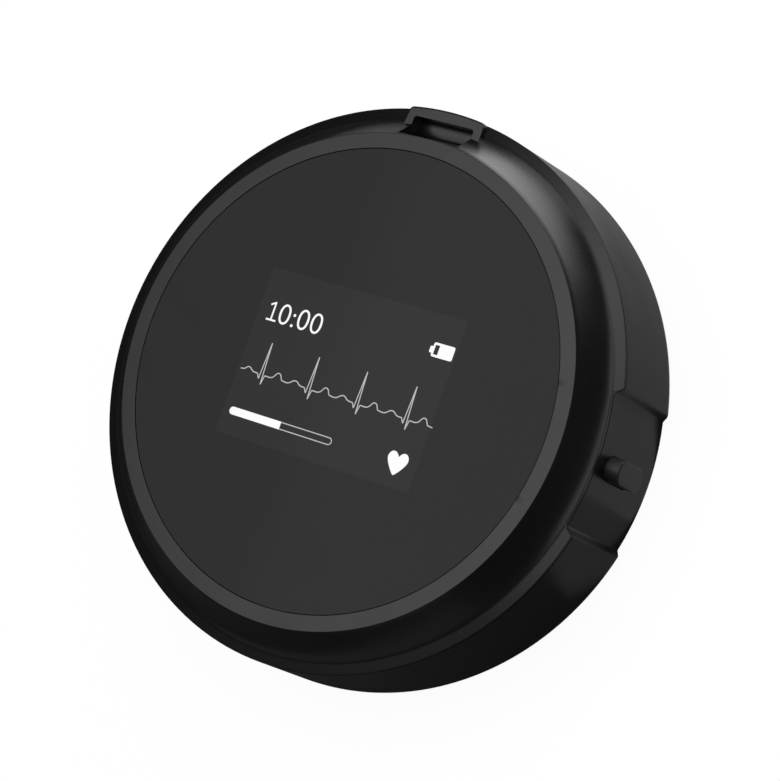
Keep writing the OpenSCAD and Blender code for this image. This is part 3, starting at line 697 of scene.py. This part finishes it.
# %% Spigot and posts
def part_turn(start, end):
    """A piece of the spigot between two angles in degrees, closed at both ends."""
    bm = bmesh.new()
    turn = math.radians(start)
    row = [bm.verts.new((r * math.cos(turn), r * math.sin(turn), z))
           for r, z in ((28.3, 11.5), (29.3, 11.5), (29.3, 13.3), (28.3, 13.3))]
    bmesh.ops.spin(bm, geom=[bm.faces.new(row)], axis=(0, 0, 1), cent=(0, 0, 0),
                   angle=math.radians(end - start), steps=round((end - start) / 1.6))
    bmesh.ops.recalc_face_normals(bm, faces=bm.faces)
    return bm


spigot = gathered(part_turn(18, 82), part_turn(98, 342))
post = [(1.6, 6.95), (2.3, 6.95), (2.3, 15.6), (1.0, 15.6), (1.0, 10.95), (1.6, 10.95)]
posts = [spun(post, 48, at) for at in SCREWS]
bezel = gathered(bezel, spigot, *posts)
settled(bezel, "front_housing", case_black, stands_for=["front_bezel"])

# %% [markdown]
# ## Lens
# The lens is a turned disc with a softly rounded edge that catches a hair of light. It sits a
# few hundredths below the ring, and the screen's picture lies on it.

# %% Lens
LENS_TOP = TOP - LENS_SUNK
lens_edge = LENS_R + LENS_GAP / 2
lens = spun([(0, TOP - LENS_THICK), (lens_edge, TOP - LENS_THICK), (lens_edge, LENS_TOP, 0.04),
             (20, LENS_TOP), (0, LENS_TOP)], 240)
settled(lens, "lens_disc", lens_black, stands_for=["lens"])

# %% [markdown]
# ## Back housing
# The back housing is a turned cup: a flat back, a large rounding, a wall that draws in slightly
# towards the front, and a step inside its top edge for the seal. The flat back and the floor
# inside are closed with one face each, so that the hollows cut into them stay clean.

# %% Cup
Z_STEP = 12.24
cup_outline = [(28.9, 0), (BACK_EDGE, 0, BACK_ROUND), (wall_reach(6), 6),
               (wall_reach(Z_CASE_TOP), Z_CASE_TOP, 0.03),
               (wall_reach(Z_CASE_TOP) - STEP, Z_CASE_TOP), (wall_reach(Z_STEP) - STEP, Z_STEP),
               (wall_reach(Z_STEP) - WALL, Z_STEP), (wall_reach(FLOOR) - WALL, FLOOR, 0.9),
               (28.2, FLOOR)]
cup = bmesh.new()
row = [cup.verts.new((r, 0, z)) for r, z in rounded(cup_outline)]
edges = [cup.edges.new(pair) for pair in zip(row, row[1:])]
bmesh.ops.spin(cup, geom=row + edges, axis=(0, 0, 1), cent=(0, 0, 0), angle=math.tau,
               steps=len(columns), use_merge=True)
bmesh.ops.remove_doubles(cup, verts=cup.verts, dist=MERGE)
bmesh.ops.holes_fill(cup, edges=[e for e in cup.edges if e.is_boundary], sides=0)
bmesh.ops.recalc_face_normals(cup, faces=cup.faces)


def cup_inset(reach, z):
    """How far a point of the cup lies behind its outer face: the wall, the seal's step, or 0."""
    behind = wall_reach(z) - reach
    if z > FLOOR - 0.05 and behind > WALL - 0.1:
        return WALL
    return STEP if z > Z_STEP - 0.04 and behind > STEP - 0.1 else 0


cup = dipped(cup, cup_inset)
print("back housing is", round(2 * BELLY_R, 1), "mm across")

# %% [markdown]
# ## Openings in the back housing
# Skin contacts, charging contacts and screws sit in stepped hollows. Each tool is a turned
# outline with a small flare at the back face, so that the cut edge comes out rounded. The
# button's opening is a stadium: a capped circle whose two halves are moved apart and raised.

# %% Stadium bars
# Half a step's turn puts no point of the circle on the line where its halves part.
HALF_STEP = Matrix.Rotation(math.radians(3.75), 4, "Z")


def stadium(length, width, x0, x1, edge=0.0):
    """A bar along X with half-round ends and its long side along Z, round the button's axis."""
    bm = bmesh.new()
    upright = Matrix.Rotation(math.radians(90), 4, "Y") @ HALF_STEP
    bmesh.ops.create_circle(bm, cap_ends=True, radius=width / 2, segments=48, matrix=upright)
    for s in (-1, 1):
        bmesh.ops.translate(bm, vec=(0, 0, s * (length - width) / 2),
                            verts=[v for v in bm.verts if v.co.z * s > 0])
    bmesh.ops.translate(bm, vec=(x0, 0, BUTTON_Z), verts=bm.verts)
    top = bmesh.ops.extrude_face_region(bm, geom=bm.faces[:])["geom"]
    bmesh.ops.translate(bm, vec=(x1 - x0, 0, 0),
                        verts=[g for g in top if isinstance(g, bmesh.types.BMVert)])
    bmesh.ops.recalc_face_normals(bm, faces=bm.faces)
    if edge:
        outer = [e for e in bm.edges if all(abs(v.co.x - x1) < 1e-4 for v in e.verts)]
        bmesh.ops.bevel(bm, geom=outer, offset=edge, segments=6, profile=0.5, affect="EDGES",
                        material=-1)
    return bm


# %% Cut the openings
def well(wide, deep, narrow, far, centre):
    """Stepped round tool with a flared mouth at the back face."""
    return spun([(0, -1), (wide + 0.1, -1), (wide + 0.1, 0), (wide, 0.1), (wide, deep),
                 (narrow, deep), (narrow, far), (0, far)], 64, centre)


tools = [well(4.05, 0.8, 1.25, 4, at) for at in CONTACTS]
tools += [well(1.15, 0.6, 1.149, 4, at) for at in CHARGERS]
tools += [well(1.95, 1.4, 1.15, 4, at) for at in SCREWS]
cup = carved(cup, gathered(*tools))
for more, reach in ((0.2, 33.5), (1.4, 28.45)):
    cup = carved(cup, stadium(BUTTON_LEN + more, BUTTON_W + more, 26.4, reach))
cup = carved(cup, block((9.62, 10, 6), (0, 29.9, 13.84)))
print("openings cut for", len(tools), "round pieces, the button and the lug")

# %% Collars inside the back housing
rings = [spun([(1.15, FLOOR - 0.1), (2.3, FLOOR - 0.1), (2.3, 5.95), (1.15, 5.95)], 48, at)
         for at in SCREWS]
rings += [spun([(1.25, FLOOR - 0.1), (2.2, FLOOR - 0.1), (2.2, 2.2), (1.25, 2.2)], 48, at)
          for at in CONTACTS]
cup = gathered(cup, *rings)
settled(cup, "back_housing", back_black, stands_for=["rear_case"])

# %% [markdown]
# ## Side button
# The key is a stadium bar with a softened outer edge and ends that draw in slightly towards it,
# as a moulded key has. Behind it come a waist that holds the rubber seal, a flange that keeps it
# in the case, and a stem that pushes the switch.

# %% Button
KEY_EDGE, KEY_DRAFT = 0.22, 0.08
key = stadium(BUTTON_LEN, BUTTON_W, 29.795, BELLY_R, KEY_EDGE)
for v in key.verts:
    v.co.z -= math.copysign(KEY_DRAFT * max(0.0, v.co.x - 30), v.co.z - BUTTON_Z)
waist = stadium(BUTTON_LEN - 0.7, BUTTON_W - 0.7, 28.0, 30.2)
shoulder = stadium(BUTTON_LEN, BUTTON_W, 28.3, 29.195)
flange = stadium(BUTTON_LEN + 1.1, BUTTON_W + 1.1, 27.695, 28.395)
stem = spun([(0, 25.795), (0.9, 25.795, 0.15), (0.9, 27.9), (0, 27.9)], 32)
bmesh.ops.rotate(stem, cent=(0, 0, 0), matrix=Matrix.Rotation(math.radians(90), 3, "Y"),
                 verts=stem.verts)
bmesh.ops.translate(stem, vec=(0, 0, BUTTON_Z), verts=stem.verts)
key = gathered(key, waist, shoulder, flange, stem)
settled(key, "button_key", button_black, body="button",
        stands_for=["side_button"])

# %% [markdown]
# ## Skin contacts, charging contacts and screws
# Each is a turned piece with a rounded edge. The screws get a cross slot, cut once with two
# small blocks, and are then copied to their four places.

# %% Skin contacts
for name, at in zip(("electrode_upper", "electrode_left", "electrode_right"), CONTACTS):
    disc = spun([(0, 0), (2.5, 0), (4.0, 0, 0.12), (4.0, 0.8), (1.2, 0.8), (1.2, 2.4), (0, 2.4)],
                96, at)
    steel = turned_steel("steel_" + name, (at[0] * MM, at[1] * MM))
    settled(disc, "contact_" + name, steel, stands_for=[name])

# %% Charging contacts
pins = [spun([(0, 0), (0.6, 0), (1.1, 0, 0.18), (1.1, 1.5), (1.6, 1.5), (1.6, 1.8), (1.1, 1.8),
              (1.1, 2.4), (0, 2.4)], 48, at) for at in CHARGERS]
settled(gathered(*pins), "charging_pins", gold, stands_for=["charging_contacts"])

# %% Screws
screw = spun([(0, 0.2), (1.3, 0.2), (1.8, 0.2, 0.3), (1.8, 1.4), (0.95, 1.4), (0.95, 10.95, 0.3),
              (0, 10.95)], 48)
for size in ((2.16, 0.45, 1.6), (0.45, 2.16, 1.6)):
    screw = carved(screw, block(size, (0, 0, 0), 0.1))
screws = []
for at in SCREWS:
    copy = screw.copy()
    bmesh.ops.translate(copy, vec=(at[0], at[1], 0), verts=copy.verts)
    screws.append(copy)
screw.free()
settled(gathered(*screws), "back_screws", screw_black, stands_for=["case_screws"])

# %% [markdown]
# ## The screen's picture
# The screen is lit, so its picture is a set of thin bright shapes on the lens, over a window
# that is a shade lighter than the rest. The clock has plain numerals. The heart trace is one
# beat repeated four times. A single curve would pinch at the sharp peaks, so the trace is cut
# into runs there: straight strokes for the peaks and smooth Bezier runs between them.

# %% Finishes of the picture
def glowing(name, strength):
    """The lens finish with white light of its own."""
    made = finish(name, (0.005, 0.005, 0.0055), 0.1, grain=0.05, ior=1.345, wear=0.02)
    lit = made.node_tree.nodes["Principled BSDF"]
    lit.inputs["Emission Color"].default_value = (1.0, 1.0, 1.0, 1)
    lit.inputs["Emission Strength"].default_value = strength
    return made


window_tone = glowing("screen_window", 0.0055)
line_tone = glowing("screen_line", 0.5)
bright = glowing("screen_bright", 0.95)
TILT = Matrix.Rotation(math.radians(0.6), 3, "Z")


# %% Lay a flat shape on the lens
def laid(bm, name, made_of, low, high):
    """Flat shapes are pressed to a thin layer between two heights and turned with the picture."""
    if all(abs(v.co.z) < 1e-9 for v in bm.verts):
        top = bmesh.ops.extrude_face_region(bm, geom=bm.faces[:])["geom"]
        bmesh.ops.translate(bm, vec=(0, 0, 1),
                            verts=[g for g in top if isinstance(g, bmesh.types.BMVert)])
    lowest = min(v.co.z for v in bm.verts)
    tall = max(v.co.z for v in bm.verts) - lowest
    for v in bm.verts:
        v.co.z = low + (v.co.z - lowest) / tall * (high - low)
    bmesh.ops.rotate(bm, cent=(0, 0, 0), matrix=TILT, verts=bm.verts)
    bmesh.ops.recalc_face_normals(bm, faces=bm.faces)
    return settled(bm, name, made_of)


def from_curve(data, merge=True):
    """The mesh of a curve or text, which is then removed."""
    temp = bpy.data.objects.new("temp", data)
    scene.collection.objects.link(temp)
    bpy.context.view_layer.update()
    mesh = bpy.data.meshes.new_from_object(
        temp.evaluated_get(bpy.context.evaluated_depsgraph_get()))
    bpy.data.objects.remove(temp)
    bm = bmesh.new()
    bm.from_mesh(mesh)
    bpy.data.meshes.remove(mesh)
    if merge:
        bmesh.ops.remove_doubles(bm, verts=bm.verts, dist=MERGE)
    return bm


def stroked(runs, radius, closed=False):
    """Round lines through runs of points: a run of two is straight, a longer one is smooth."""
    data = bpy.data.curves.new("stroke", "CURVE")
    data.dimensions = "3D"
    data.bevel_depth = radius
    data.bevel_resolution = 2
    data.use_fill_caps = True
    data.resolution_u = 6
    for run in runs:
        line = data.splines.new("BEZIER")
        line.bezier_points.add(len(run) - 1)
        line.use_cyclic_u = closed
        for point, at in zip(line.bezier_points, run):
            point.co = (*at, 0)
            point.handle_left_type = point.handle_right_type = "VECTOR" if closed else "AUTO"
    return from_curve(data, merge=False)


def panel(width, height, centre, corner):
    """A flat rectangle with round corners."""
    bm = bmesh.new()
    bmesh.ops.create_grid(bm, x_segments=1, y_segments=1, size=0.5)
    bmesh.ops.scale(bm, vec=(width, height, 1), verts=bm.verts)
    bmesh.ops.translate(bm, vec=(*centre, 0), verts=bm.verts)
    bmesh.ops.bevel(bm, geom=bm.verts[:], offset=corner, segments=4, profile=0.5,
                    affect="VERTICES", material=-1)
    return bm


# %% Screen window
WINDOW_TOP, PICTURE = LENS_TOP + 0.006, (LENS_TOP + 0.018, LENS_TOP + 0.034)
laid(panel(24.9, 18.8, (0.1, 0), 0.2), "screen_window", window_tone, LENS_TOP - 0.1, WINDOW_TOP)

# %% Clock: plain numerals, and strokes for the one
CLOCK_LEFT, CLOCK_LOW, CLOCK_W, CLOCK_H = -9.64, 3.63, 5.57, 2.26
clock = bpy.data.curves.new("clock", "FONT")
clock.body = "0:00"
clock.size = 3.0
clock.offset = -0.035
numerals = from_curve(clock)
low = [min(v.co[i] for v in numerals.verts) for i in (0, 1)]
high = [max(v.co[i] for v in numerals.verts) for i in (0, 1)]
for v in numerals.verts:
    v.co.x = CLOCK_LEFT + (v.co.x - low[0]) / (high[0] - low[0]) * CLOCK_W
    v.co.y = CLOCK_LOW + (v.co.y - low[1]) / (high[1] - low[1]) * CLOCK_H
laid(numerals, "screen_clock", bright, *PICTURE)
one = [[(-10.46, 3.77), (-10.46, 5.79)], [(-11.02, 5.4), (-10.44, 5.74)],
       [(-11.09, 3.77), (-9.83, 3.77)]]
laid(stroked(one, 0.1), "screen_clock_one", bright, *PICTURE)
print("clock is fitted to", CLOCK_W, "by", CLOCK_H, "mm")

# %% Heart trace
FIRST_BEAT, PITCH = -9.19, 6.2
beat = [(-1.84, -1.73, 0), (-1.13, -2.09, 0), (-0.53, -2.14, 1), (-0.21, -2.66, 1), (0, 1.42, 1),
        (0.25, -3.22, 1), (0.45, -2.19, 1), (1.37, -2.14, 0), (2.1, -1.49, 0), (2.67, -2.14, 1),
        (3.5, -2.18, 0)]
path = [(-11.98, -2.13, 1), (-11.5, -2.05, 0)]
for number in range(4):
    path += [(FIRST_BEAT + PITCH * number + x, y, hard) for x, y, hard in beat]
path[-1] = (12.7, -2.21, 1)
runs = [[path[0][:2]]]
for x, y, hard in path[1:]:
    runs[-1].append((x, y))
    if hard:
        runs.append([(x, y)])
laid(stroked(runs[:-1], 0.06), "screen_trace", line_tone, *PICTURE)
print("heart trace has", len(runs) - 1, "runs")

# %% Progress bar: its outline, and the part that is done
BAR_ENDS, BAR_Y, BAR_FILLED_TO = ((1, 1.49), (-1, -11.07)), -6.77, -4.8
turns = [math.radians(t) for t in range(-90, 91, 15)]
outline = [(x + s * 0.37 * math.cos(t), BAR_Y + s * 0.37 * math.sin(t))
           for s, x in BAR_ENDS for t in turns]
laid(stroked([outline], 0.055, closed=True), "screen_bar_outline", line_tone, *PICTURE)

done = bmesh.new()
bmesh.ops.create_circle(done, cap_ends=True, radius=0.43, segments=48,
                        matrix=HALF_STEP)
for s, end in reversed(BAR_ENDS):
    moved = [v for v in done.verts if v.co.x * s > 0 and abs(v.co.x) < 0.6]
    bmesh.ops.translate(done, vec=(end, 0, 0), verts=moved)
bmesh.ops.translate(done, vec=(0, BAR_Y, 0), verts=done.verts)
bmesh.ops.bisect_plane(done, geom=done.verts[:] + done.edges[:] + done.faces[:], dist=1e-5,
                       plane_co=(BAR_FILLED_TO, 0, 0), plane_no=(1, 0, 0), clear_outer=True)
laid(done, "screen_progress", bright, *[z + 0.001 for z in PICTURE])

# %% Battery symbol
cell = panel(2.56, 1.53, (10.92, 5.635), 0.2)
for at, way in (((9.86, 0, 0), (1, 0, 0)), ((10.38, 0, 0), (1, 0, 0)),
                ((0, 5.12, 0), (0, 1, 0)), ((0, 6.15, 0), (0, 1, 0))):
    bmesh.ops.bisect_plane(cell, geom=cell.verts[:] + cell.edges[:] + cell.faces[:], dist=1e-5,
                           plane_co=at, plane_no=way)
spent = [f for f in cell.faces if 9.86 < f.calc_center_median().x < 10.38
         and 5.12 < f.calc_center_median().y < 6.15]
bmesh.ops.delete(cell, geom=spent, context="FACES_ONLY")
cell = gathered(cell, panel(0.36, 0.72, (9.5, 5.58), 0.12))
laid(cell, "screen_battery", bright, *PICTURE)

# %% Heart symbol: the right side mirrors the left
HEART_X = 10.12
heart = bpy.data.curves.new("heart", "CURVE")
heart.dimensions = "2D"
heart.fill_mode = "BOTH"
heart.resolution_u = 10
loop = heart.splines.new("BEZIER")
loop.use_cyclic_u = True
left_side = [((HEART_X, -6.14), (0.1, 0.22), (-0.1, 0.22)), ((9.47, -5.6), (0.32, 0), (-0.34, 0)),
             ((8.88, -6.3), (0, 0.38), (0, -0.55)),
             ((HEART_X, -8.07), (-0.16, 0.02), (0.16, 0.02))]
right_side = [((2 * HEART_X - c[0], c[1]), (-b[0], b[1]), (-a[0], a[1]))
              for c, a, b in left_side[2:0:-1]]
loop.bezier_points.add(len(left_side + right_side) - 1)
for point, (c, a, b) in zip(loop.bezier_points, left_side + right_side):
    point.handle_left_type = point.handle_right_type = "FREE"
    point.co = (*c, 0)
    point.handle_left = (c[0] + a[0], c[1] + a[1], 0)
    point.handle_right = (c[0] + b[0], c[1] + b[1], 0)
laid(from_curve(heart), "screen_heart", bright, *PICTURE)
